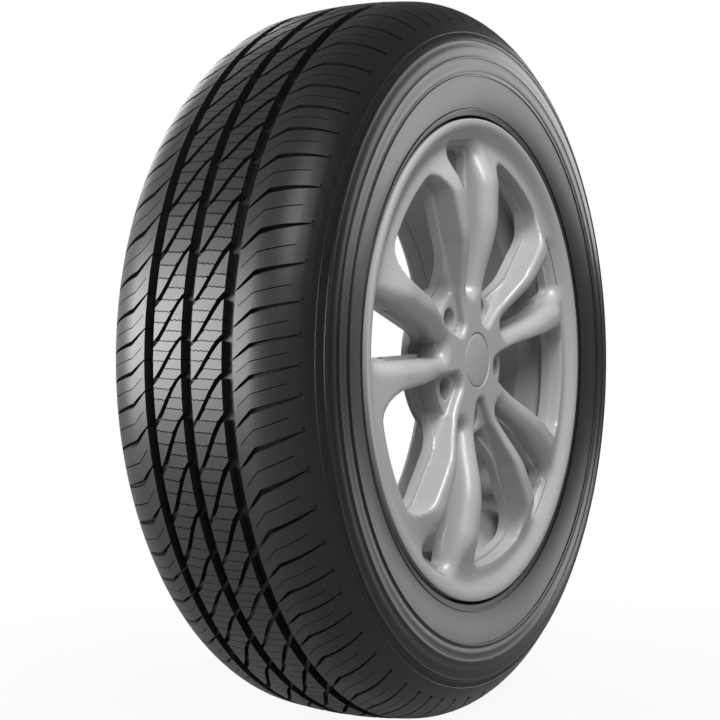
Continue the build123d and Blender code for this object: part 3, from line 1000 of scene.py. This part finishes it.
    def field(self, x: np.ndarray, y: np.ndarray, s: np.ndarray) -> np.ndarray:
        """The distance to the disc's surface, below zero inside the metal.

        Args:
            x: Places across the wheel, clockwise from a pair's axis.
            y: Places along that axis.
            s: Distances outwards from the middle plane.

        Returns:
            The distances in millimetres.
        """
        r = np.hypot(x, y)
        sector = 2 * np.pi / self.pairs
        turn = np.arctan2(x, y)
        folded = np.abs(turn - sector * np.round(turn / sector))
        x, y = r * np.sin(folded), r * np.cos(folded)
        big, small, aside, half = self.windows(x, y, r)
        start, end = self.dome_band
        on_spoke = np.clip((r - start) / self.dome_fade, 0, 1) * np.clip((end - r) / self.dome_fade, 0, 1)
        fall = self.spoke_dome * on_spoke * np.minimum(aside / half, 1) ** 2
        front = (s - self.crest(r) + fall) * self.front_scale
        front = round_max(round_max(front, -small, self.crest_inner_round), -big, self.crest_round)
        bend = np.clip((self.back_bend_radius - r) / (self.back_bend_radius - self.hub_radius), 0, 1)
        behind = self.back_s - self.back_fall * bend**2
        ledge = behind + self.ledge_rise
        front = np.maximum(front, ledge - self.ledge_lap - s)
        back = np.maximum(np.maximum(-big, -small) - self.ledge, np.maximum(s - ledge, behind - s))
        hub = np.maximum(np.maximum(r - self.hub_radius, s - self.lug_deck_s), self.hub_pad_s - s)
        bay = round_max(half - aside, self.lug_bay_radius - r, self.bay_corner)
        bay = round_max(bay, self.lug_deck_s - s, self.bay_floor_corner)
        bay = np.maximum(bay, (r - self.bay_reach * self.hub_radius) * self.bay_fade)
        front = round_max(front, -bay, self.bay_round)
        metal = -round_max(round_max(-front, -back, self.ledge_fillet), -hub, self.hub_fillet)
        metal = round_max(metal, -self.holes(x, y, r, s), self.hole_round)
        edge = np.maximum(r - self.lip_radius, np.minimum(r - self.lip_band_radius, self.lip_back_s - s))
        return round_max(metal, edge, self.lip_round)

    def sector(self) -> tuple[np.ndarray, list]:
        """One sector of the disc: a net of faces over the field's zero level, whose ends meet its neighbours.

        Returns:
            Points in millimetres at the first pair's place, and faces.
        """
        turn_step = 2 * np.pi / self.pairs / self.turn_steps
        (inner, outer), (behind, before) = self.grid_radii, self.grid_depths
        axes = [
            np.arange(inner, outer + self.step, self.step),
            turn_step * (np.arange(-1, self.turn_steps + 1) - self.turn_steps / 2),
            np.arange(behind, before, self.step * self.depth_step_share),
        ]
        r, turn, s = np.meshgrid(*axes, indexing="ij")
        values = self.field(r * np.sin(turn), r * np.cos(turn), s)
        cells = tuple(n - 1 for n in values.shape)
        owners, places, slopes, quads = [], [], [], []
        # A grid line that crosses the surface gives a point and its normal to the cells round it, and a face
        for axis in range(3):
            low = np.take(values, range(cells[axis]), axis)
            high = np.take(values, range(1, cells[axis] + 1), axis)
            edges = np.argwhere((low < 0) != (high < 0))
            key = tuple(edges.T)
            share = low[key] / (low[key] - high[key])
            polar = np.stack([axes[k][edges[:, k]] for k in range(3)], axis=1)
            polar[:, axis] += share * (axes[axis][edges[:, axis] + 1] - axes[axis][edges[:, axis]])
            out, angle, up = polar.T
            place, slope = self.settle(np.stack([out * np.sin(angle), out * np.cos(angle), up], axis=1))
            around = []
            for du, dv in ((0, 0), (-1, 0), (-1, -1), (0, -1)):
                cell = edges.copy()
                cell[:, (axis + 1) % 3] += du
                cell[:, (axis + 2) % 3] += dv
                around.append(cell)
            fits = [np.all((cell >= 0) & (cell < cells), axis=1) for cell in around]
            for cell, fit in zip(around, fits):
                owners.append(np.ravel_multi_index(tuple(cell[fit].T), cells))
                places.append(place[fit])
                slopes.append(slope[fit])
            own = np.all(fits, axis=0) & (edges[:, 1] >= 1) & (edges[:, 1] <= self.turn_steps)
            ring = np.stack([np.ravel_multi_index(tuple(cell[own].T), cells) for cell in around], axis=1)
            inside = low[key][own] < 0
            ring[~inside] = ring[~inside][:, ::-1]
            quads.append(ring)
        planes = [np.concatenate(part) for part in (owners, places, slopes)]
        corners = self.meet(*planes, math.prod(cells))
        used, faces = np.unique(np.concatenate(quads), return_inverse=True)
        points = corners[used]
        turn = math.radians(self.pair_angle)
        x = points[:, 0] * math.cos(turn) + points[:, 1] * math.sin(turn)
        z = points[:, 1] * math.cos(turn) - points[:, 0] * math.sin(turn)
        return np.stack([x, -points[:, 2], z], axis=1), faces.reshape(-1, 4).tolist()

    def settle(self, points: np.ndarray) -> tuple[np.ndarray, np.ndarray]:
        """Moves points onto the field's zero level by small steps down its slope.

        Args:
            points: Places near the surface.

        Returns:
            Places on the surface, and the surface's normals there.
        """
        reach, limit = self.settle_reach, self.settle_limit
        for _ in range(self.settle_rounds):
            slope = np.empty_like(points)
            for k in range(3):
                nudge = np.zeros(3)
                nudge[k] = reach
                slope[:, k] = self.field(*(points + nudge).T) - self.field(*(points - nudge).T)
            size = np.maximum(np.linalg.norm(slope, axis=1, keepdims=True), reach)
            slope = slope / size
            move = np.clip(self.field(*points.T)[:, None] / (size / (2 * reach)), -limit, limit)
            points = points - move * slope
        return points, slope

    def meet(self, owners: np.ndarray, places: np.ndarray, slopes: np.ndarray, count: int) -> np.ndarray:
        """Finds the point of each cell that lies best on all its tangent planes, so that edges stay crisp.

        Args:
            owners: The cell's number for each plane.
            places: A point on each plane.
            slopes: Each plane's normal.
            count: How many cells there are.

        Returns:
            One point for each cell.
        """
        share = np.maximum(np.bincount(owners, minlength=count), 1)
        middle = np.stack([np.bincount(owners, places[:, k], count) / share for k in range(3)], axis=1)
        pull = np.einsum("ij,ij->i", slopes, places - middle[owners])
        sums = np.empty((count, 3, 3))
        wish = np.empty((count, 3))
        for i in range(3):
            wish[:, i] = np.bincount(owners, pull * slopes[:, i], count)
            for j in range(3):
                sums[:, i, j] = np.bincount(owners, slopes[:, i] * slopes[:, j], count)
        # A weak pull to the middle keeps the point of a flat cell in place
        sums += self.calm * share[:, None, None] * np.eye(3)
        move = np.linalg.solve(sums, wish[:, :, None])[:, :, 0]
        length = np.linalg.norm(move, axis=1, keepdims=True)
        return middle + move * np.minimum(1, self.step / np.maximum(length, self.step))

    def barrel_section(self) -> Points:
        """The barrel's closed section, from under the disc's ring to the flange at the back, as s and r."""
        outside = [
            # Under the disc's ring, the outer bead's seat and its hump
            (70.0, 189.6),
            (56.2, 188.7),
            (55.0, 187.8),
            *arc((46.0, 183.8), 4.0, 20, -20, 2),
            # Down into the well and up its far side
            *arc((36.5, 177.0), 4.0, 215, 180, 2),
            (8.0, 173.0),
            (-6.0, 187.7),
            # The inner bead's hump and seat, and the back flange round to its edge
            (-56.0, 187.8),
            (-56.2, 188.7),
            (-75.0, 190.4),
            *arc((-79.0, 198.0), 3.0, 90, 20, 3),
            *arc((-83.5, 203.6), 3.3, 20, -90, 6),
        ]
        inside = [
            # Behind the flange, to the turned band in the barrel
            (-84.5, 199.0),
            *arc((-79.0, 193.5), 3.5, 260, 200, 3),
            *arc((-73.0, 185.0), 2.8, 260, 190, 3),
            (-60.0, 182.2),
            (-59.0, 183.0),
            (-40.0, 183.2),
            (-39.0, 182.2),
            # Round the well and out to the disc
            *arc((-10.0, 179.0), 3.2, -20, 40, 3),
            *arc((6.5, 171.0), 3.6, 220, 180, 3),
            (20.0, 166.9),
            (32.0, 167.5),
            *arc((37.5, 171.2), 3.6, 180, 140, 3),
            (49.0, 179.8),
            (52.0, 183.5),
            (70.0, 186.0),
        ]
        return outside + inside

    def build(self, finish: bpy.types.Material) -> bpy.types.Object:
        """Makes the wheel as one casting.

        Args:
            finish: The paint.

        Returns:
            The wheel.
        """
        disc = around_tree("spoked_disc", self.pairs).apply(make_mesh("spoked_disc", *self.sector()), finish)
        barrel = make_mesh("barrel", *turned(self.barrel_section(), self.segments))
        wheel = join("alloy_wheel", [disc, barrel])
        face_outwards(wheel)
        soften(wheel, self.crisp_angle)
        return wheel


@dataclass
class CentreCap:
    """The plain cap in the hub: a shallow dome with a rounded rim, and its skirt behind."""

    radius: float = 23.5
    seat_s: float = 75.85
    edge_s: float = 77.9
    dome: float = 1.6
    dome_steps: int = 10
    rim_width: float = 1.2
    rim_round: tuple[float, float] = (0.25, 0.4)
    rim_fall: float = 1.0
    skirt_radius: float = 20.3
    skirt_end_s: float = 60.3
    wall: float = 1.8
    plate: float = 0.5
    segments: int = 96
    crisp_angle: float = 40.0

    def build(self) -> bpy.types.Object:
        """Makes the cap as one moulding."""
        flat = self.radius - self.rim_width
        radii = [flat * i / self.dome_steps for i in range(self.dome_steps + 1)]
        face = [(self.edge_s + self.dome * (1 - (r / self.radius) ** 2), r) for r in radii]
        fall, inset = self.rim_round
        rim = [(self.edge_s - fall, self.radius - inset), (self.edge_s - self.rim_fall, self.radius)]
        back = [
            (self.seat_s, self.radius),
            (self.seat_s, self.skirt_radius),
            (self.skirt_end_s, self.skirt_radius),
            (self.skirt_end_s, self.skirt_radius - self.wall),
            (self.seat_s - self.plate, self.skirt_radius - self.wall),
            (self.seat_s - self.plate, 0.0),
        ]
        points, faces = turned([*face, *rim, *back], self.segments)
        cap = make_mesh("centre_cap_moulded", points, faces)
        face_outwards(cap)
        soften(cap, self.crisp_angle)
        return cap


@dataclass(frozen=True)
class Finish:
    """A surface finish: two close tones and a gloss that drift over the piece, and a fine grain."""

    name: str
    tone: str
    second_tone: str
    drift_mm: float
    roughness: tuple[float, float]
    grain_mm: float
    grain_depth_mm: float
    metallic: float = 0.0
    specular: float = 0.5
    coat: float = 0.0
    coat_roughness: float = 0.2
    drift_detail: float = 3.0
    grain_detail: float = 2.0

    def build(self) -> bpy.types.Material:
        """Makes the material."""
        finish = bpy.data.materials.new(self.name)
        finish.use_nodes = True
        tree = finish.node_tree
        shader = tree.nodes["Principled BSDF"]
        place = add_node(tree, "ShaderNodeTexCoord").outputs["Object"]
        clouds = []
        for size, detail in ((self.drift_mm, self.drift_detail), (self.grain_mm, self.grain_detail)):
            cloud = {"Vector": place, "Scale": 1 / (size * MM), "Detail": detail}
            clouds.append(add_node(tree, "ShaderNodeTexNoise", cloud).outputs["Fac"])
        drift, grain = clouds
        colour = add_node(
            tree,
            "ShaderNodeMix",
            {0: drift, 6: linear(self.tone), 7: linear(self.second_tone)},
            data_type="RGBA",
        )
        gloss = add_node(
            tree,
            "ShaderNodeMapRange",
            {"Value": drift, "To Min": self.roughness[0], "To Max": self.roughness[1]},
        )
        relief = add_node(
            tree,
            "ShaderNodeBump",
            {"Height": grain, "Distance": self.grain_depth_mm * MM, "Strength": 1.0},
        )
        feeds = {"Base Color": colour.outputs[2], "Roughness": gloss.outputs[0], "Normal": relief.outputs[0]}
        for name, feed in feeds.items():
            tree.links.new(feed, shader.inputs[name])
        values = {
            "Metallic": self.metallic,
            "Specular IOR Level": self.specular,
            "Coat Weight": self.coat,
            "Coat Roughness": self.coat_roughness,
        }
        for name, value in values.items():
            shader.inputs[name].default_value = value
        return finish


# Vulcanised rubber from a polished mould: nearly black, with a soft wide sheen where light grazes it
TYRE_RUBBER = Finish(
    "vulcanised_rubber_moulded", tone="#131314", second_tone="#181819", drift_mm=60.0,
    roughness=(0.36, 0.43), grain_mm=0.9, grain_depth_mm=0.015, specular=0.28,
)
# Silver-grey wheel paint over cast aluminium: fine flakes under a satin lacquer, with broad soft highlights
WHEEL_PAINT = Finish(
    "satin_wheel_paint_on_cast_aluminium", tone="#949493", second_tone="#9a9a99", drift_mm=45.0,
    roughness=(0.36, 0.42), grain_mm=0.5, grain_depth_mm=0.005, coat=0.25,
)
# Painted ABS: the wheel's own grey, a little smoother than the casting around it
CAP_PAINT = Finish(
    "painted_abs_moulded", tone="#90908f", second_tone="#969695", drift_mm=20.0,
    roughness=(0.38, 0.44), grain_mm=0.5, grain_depth_mm=0.004, specular=0.4, coat=0.1, coat_roughness=0.3,
)
# Soft moulded valve rubber: matt and a shade browner than the tyre
VALVE_RUBBER = Finish(
    "epdm_rubber_moulded", tone="#171615", second_tone="#1e1d1c", drift_mm=6.0,
    roughness=(0.55, 0.65), grain_mm=0.5, grain_depth_mm=0.02,
)
# Turned brass: warm yellow with fine lathe marks, dulled by handling
VALVE_BRASS = Finish(
    "turned_brass", tone="#b08d4f", second_tone="#a5823f", drift_mm=2.0,
    roughness=(0.28, 0.36), grain_mm=0.3, grain_depth_mm=0.004, metallic=1.0,
)
# Moulded polypropylene: matt black with a faint waxy light
DUST_CAP_PLASTIC = Finish(
    "polypropylene_moulded", tone="#1b1b1c", second_tone="#202021", drift_mm=4.0,
    roughness=(0.45, 0.55), grain_mm=0.4, grain_depth_mm=0.01,
)


@dataclass(frozen=True)
class Softbox:
    """A flat studio lamp that looks at the wheel, and may be flagged off some pieces."""

    name: str
    place: tuple[float, float, float]
    aim: tuple[float, float, float]
    width: float
    height: float
    power: float
    reach: Reach = Reach.ALL

    def build(self, pieces: dict[Reach, bpy.types.Collection]) -> None:
        """Makes the lamp.

        Args:
            pieces: What a flagged lamp still lights.
        """
        lamp = bpy.data.lights.new(self.name, "AREA")
        lamp.shape = "RECTANGLE"
        lamp.size, lamp.size_y, lamp.energy = self.width, self.height, self.power
        holder = bpy.data.objects.new(self.name, lamp)
        holder.location = self.place
        way = Vector(self.aim) - Vector(self.place)
        holder.rotation_euler = way.to_track_quat("-Z", "Y").to_euler()
        holder.visible_camera = False
        if self.reach in pieces:
            holder.light_linking.receiver_collection = pieces[self.reach]
        bpy.context.scene.collection.objects.link(holder)


@dataclass
class Studio:
    """The pale floor, the white surround, the lamps and the camera."""

    floor_z: float
    pieces: dict[Reach, list[bpy.types.Object]]
    floor_radius: float = 6.0
    floor_segments: int = 96
    paper_tone: str = "#f2f2f2"
    paper_roughness: float = 0.8
    fade_band: tuple[float, float] = (0.2, 0.7)
    shadow_level: float = 0.93
    front_fill: float = 0.08
    back_fill: float = 0.05
    fill_band: tuple[float, float] = (-0.6, 0.2)
    front_room: float = 0.2
    room_band: tuple[float, float] = (0.45, 0.9)
    camera_place: tuple[float, float, float] = (-1.144, -0.635, 0.0)
    lens: float = 73.3
    sensor: float = 36.0
    shift: float = -0.0539

    def surround(self) -> None:
        """Makes a white backdrop for the camera, a dimmer room for reflections and a soft fill."""
        world = bpy.data.worlds.new("white_surround")
        bpy.context.scene.world = world
        world.use_nodes = True
        tree = world.node_tree
        path = add_node(tree, "ShaderNodeLightPath")
        way = add_node(tree, "ShaderNodeTexCoord").outputs["Generated"]
        way = add_node(tree, "ShaderNodeSeparateXYZ", {0: way}).outputs["Y"]
        bands = (
            (self.fill_band, self.front_fill, self.back_fill),
            (self.room_band, self.front_room, 1.0),
        )
        levels = []
        for (start, end), low, high in bands:
            band = {"Value": way, "From Min": start, "From Max": end, "To Min": low, "To Max": high}
            levels.append(add_node(tree, "ShaderNodeMapRange", band).outputs[0])
        level, room = levels
        for ray, high in (("Is Glossy Ray", room), ("Is Camera Ray", 1.0)):
            choice = {"Value": path.outputs[ray], "To Min": level, "To Max": high}
            level = add_node(tree, "ShaderNodeMapRange", choice).outputs[0]
        tree.links.new(level, tree.nodes["Background"].inputs["Strength"])
        tree.nodes["Background"].inputs["Color"].default_value = WHITE

    def floor(self) -> None:
        """Lays a pale round floor that keeps the shadow near the wheel and fades to white further off."""
        mesh = bpy.data.meshes.new("floor")
        shell = bmesh.new()
        bmesh.ops.create_circle(shell, cap_ends=True, segments=self.floor_segments, radius=self.floor_radius)
        shell.to_mesh(mesh)
        shell.free()
        floor = bpy.data.objects.new("floor", mesh)
        floor.location.z = self.floor_z
        bpy.context.scene.collection.objects.link(floor)
        paper = bpy.data.materials.new("seamless_studio_paper")
        paper.use_nodes = True
        tree = paper.node_tree
        shader = tree.nodes["Principled BSDF"]
        shader.inputs["Base Color"].default_value = linear(self.paper_tone)
        shader.inputs["Roughness"].default_value = self.paper_roughness
        place = add_node(tree, "ShaderNodeTexCoord").outputs["Object"]
        off = add_node(tree, "ShaderNodeVectorMath", {0: place}, operation="LENGTH")
        start, end = self.fade_band
        band = {"From Min": start, "From Max": end, "To Min": self.shadow_level, "To Max": 1.0}
        fade = add_node(tree, "ShaderNodeMapRange", {"Value": off.outputs["Value"], **band})
        path = add_node(tree, "ShaderNodeLightPath")
        share = path.outputs["Is Glossy Ray"]
        for operation, feed in (
            ("MULTIPLY", self.front_room),
            ("MAXIMUM", path.outputs["Is Camera Ray"]),
            ("MULTIPLY", fade.outputs[0]),
        ):
            share = add_node(tree, "ShaderNodeMath", {0: share, 1: feed}, operation=operation).outputs[0]
        white = add_node(tree, "ShaderNodeEmission", {"Color": WHITE, "Strength": 1.0})
        mixed = add_node(tree, "ShaderNodeMixShader", {0: share, 1: shader.outputs[0], 2: white.outputs[0]})
        tree.links.new(mixed.outputs[0], tree.nodes["Material Output"].inputs["Surface"])
        mesh.materials.append(paper)
        floor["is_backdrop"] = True

    def camera(self) -> None:
        """Sets the camera at the photograph's place."""
        data = bpy.data.cameras.new("camera")
        data.lens = self.lens
        data.sensor_width = self.sensor
        data.shift_x = self.shift
        camera = bpy.data.objects.new("camera", data)
        camera.location = self.camera_place
        camera.rotation_euler = (-Vector(self.camera_place)).to_track_quat("-Z", "Y").to_euler()
        bpy.context.scene.collection.objects.link(camera)
        bpy.context.scene.camera = camera

    def build(self) -> None:
        """Makes the whole studio."""
        self.surround()
        self.floor()
        self.camera()
        # Each lamp's place and aim, its width and height in metres, its power in watts and its reach
        lamps = [
            Softbox("tread_panel", (-1.55, 1.1, -0.12), (-0.1, 0.0, 0.0), 2.0, 1.7, 250.0, Reach.TYRE),
            Softbox("sidewall_high", (0.53, -0.35, 0.34), (0.0, -0.09, 0.235), 0.6, 0.4, 3.4, Reach.TYRE),
            Softbox("sidewall_low", (0.53, -0.36, -0.22), (0.0, -0.09, -0.2), 0.3, 0.2, 0.8, Reach.TYRE),
            Softbox("wheel_top", (-0.55, -0.85, 1.95), (0.0, 0.0, 0.0), 0.7, 0.7, 58.0, Reach.WHEEL),
            Softbox("key", (-1.5, -1.3, 1.4), (0.0, 0.0, 0.0), 0.9, 0.9, 36.0),
            Softbox("back", (0.9, 1.5, 1.0), (0.0, 0.0, 0.0), 0.9, 0.9, 10.0),
        ]
        lit = {}
        for reach, pieces in self.pieces.items():
            lit[reach] = bpy.data.collections.new(f"{reach.value}_light")
            for piece in pieces:
                lit[reach].objects.link(piece)
        for lamp in lamps:
            lamp.build(lit)
        bpy.context.scene.view_settings.view_transform = "Standard"


def main() -> None:
    """Builds the pieces, the light and the camera."""
    logging.basicConfig(level=logging.INFO, format="%(message)s")
    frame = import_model()
    low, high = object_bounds()
    casing = Casing(high.z / MM - TREAD_INSET, high.y / MM - WALL_INSET)
    tread = Tread(casing)
    rubber = TYRE_RUBBER.build()
    tyre = Tyre(casing, tread).build(rubber)
    dress(tyre, rubber, Slot.TYRE, "tyre")
    paint = WHEEL_PAINT.build()
    wheel = CastWheel().build(paint)
    dress(wheel, paint, Slot.WHEEL, "wheel")
    cap = CentreCap().build()
    dress(cap, CAP_PAINT.build(), Slot.CAP, "centre_cap")
    for node, finish in (
        ("valve_stem", VALVE_RUBBER),
        ("valve_core", VALVE_BRASS),
        ("valve_cap", DUST_CAP_PLASTIC),
    ):
        frame["nodes"][node].material_slots[0].material = finish.build()
    Studio(low.z, {Reach.TYRE: [tyre], Reach.WHEEL: [wheel, cap]}).build()


if __name__ == "__main__":
    main()
